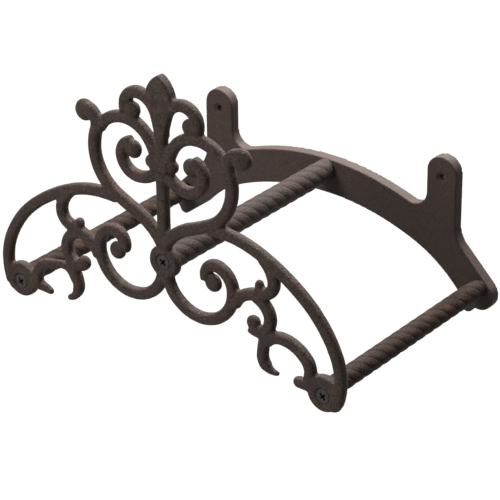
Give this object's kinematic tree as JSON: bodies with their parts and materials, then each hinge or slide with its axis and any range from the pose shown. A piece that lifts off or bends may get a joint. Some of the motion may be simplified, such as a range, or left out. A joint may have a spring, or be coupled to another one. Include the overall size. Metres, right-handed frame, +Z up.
{
  "type": "hose hanger",
  "caption": "Wall-mounted cast iron garden hose hanger with an open scroll front, rope-twist bars and an arched wall plate",
  "frame": {"origin": "on the wall plane, midway between the two ear holes of the wall plate", "axes": "+X to the right as seen from the front, +Y into the wall, +Z up"},
  "size_m": [0.338, 0.22, 0.2385],
  "materials": {
    "iron": "satin dark brown coat over a sand-cast skin",
    "screw": "dark satin"
  },
  "bodies": {
    "root": {"back_plate": "iron", "scroll_front": "iron", "left_bar": "iron", "centre_bar": "iron", "right_bar": "iron", "front_screws": "screw"}
  },
  "joints": []
}
